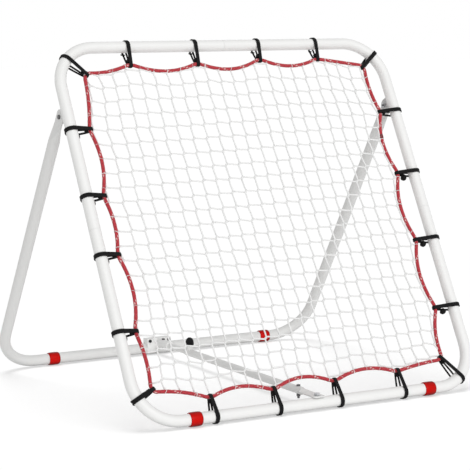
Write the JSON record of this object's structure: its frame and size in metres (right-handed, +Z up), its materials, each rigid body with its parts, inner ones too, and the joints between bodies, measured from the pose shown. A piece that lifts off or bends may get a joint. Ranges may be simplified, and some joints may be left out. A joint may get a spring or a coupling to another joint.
{
  "type": "pitch back rebounder",
  "caption": "Leaning net rebounder: a tubular steel frame with a net hung on ties, a folding U-shaped rear leg and a telescopic floor brace with a clamping knob.",
  "frame": {"origin": "on the floor, midway between the front and the rear tube and between the two sides", "axes": "+X to the user's right when they face the net's front, +Y from the net's front to the rear leg, +Z up"},
  "size_m": [1.0104, 0.918, 0.91],
  "materials": {
    "white_paint": "satin powder coat",
    "red_ring": "glossy moulded",
    "zinc_steel": "bright zinc plated",
    "dark_steel": "black oxide",
    "black_plastic": "fine moulded texture",
    "black_elastic": "braided elastic cord",
    "red_rope": "braided with white flecks",
    "dark_sleeve": "shrink tube",
    "net_cord": "knotted cord"
  },
  "bodies": {
    "net_frame": {"frame_top_left": "white_paint", "frame_top_right": "white_paint", "frame_bottom_left": "white_paint", "frame_bottom_right": "white_paint", "bottom_tube": "white_paint", "front_foot_left": "red_ring", "front_foot_right": "red_ring", "pivot_lug_left": "white_paint", "pivot_lug_right": "white_paint", "pivot_bolt_left": "zinc_steel", "pivot_bolt_right": "zinc_steel", "pivot_nut_left": "zinc_steel", "pivot_nut_right": "zinc_steel", "pivot_washers": "zinc_steel", "front_bolt": "dark_steel", "front_nut": "zinc_steel", "net": "net_cord", "edge_rope": "red_rope", "rope_splice": "dark_sleeve", "ties_top": "black_elastic", "ties_bottom": "black_elastic", "ties_left": "black_elastic", "ties_right": "black_elastic", "ties_corner": "black_elastic"},
    "rear_leg": {"leg_left": "white_paint", "leg_right": "white_paint", "rear_tube": "white_paint", "rear_foot_left": "red_ring", "rear_foot_right": "red_ring"},
    "brace_rear": {"clamp_front": "white_paint", "clamp_rear": "white_paint", "clamp_screws": "dark_steel", "clamp_nuts": "dark_steel", "inner_tube": "white_paint", "socket_screw": "dark_steel", "socket_nut": "dark_steel"},
    "brace_front": {"outer_tube": "white_paint", "knob_boss": "white_paint", "brace_tongue": "white_paint", "plug_bolt": "dark_steel", "plug_nut": "dark_steel"},
    "knob": {"clamp_knob": "black_plastic"}
  },
  "joints": [
    {"name": "leg_fold", "type": "hinge", "parent": "net_frame", "child": "rear_leg", "pos_m": [0, -0.0202, 0.72267], "axis": [-1, 0, 0], "range_deg": [-4, 6]},
    {"name": "brace_hinge", "type": "hinge", "parent": "rear_leg", "child": "brace_rear", "pos_m": [0, 0.441, 0.018], "axis": [-1, 0, 0], "range_deg": [-3, 2]},
    {"name": "brace_slide", "type": "slide", "parent": "brace_rear", "child": "brace_front", "axis": [0, 1, 0], "range_m": [-0.05, 0.075]},
    {"name": "knob_turn", "type": "hinge", "parent": "brace_front", "child": "knob", "pos_m": [0, 0.234, 0.0539], "axis": [0, 0, 1], "range_deg": [0, 720]}
  ],
  "couplings": [
    {"joint": "brace_hinge", "follows": "leg_fold", "ratio": -0.4668},
    {"joint": "brace_slide", "follows": "leg_fold", "m_per_rad": 0.69874}
  ]
}
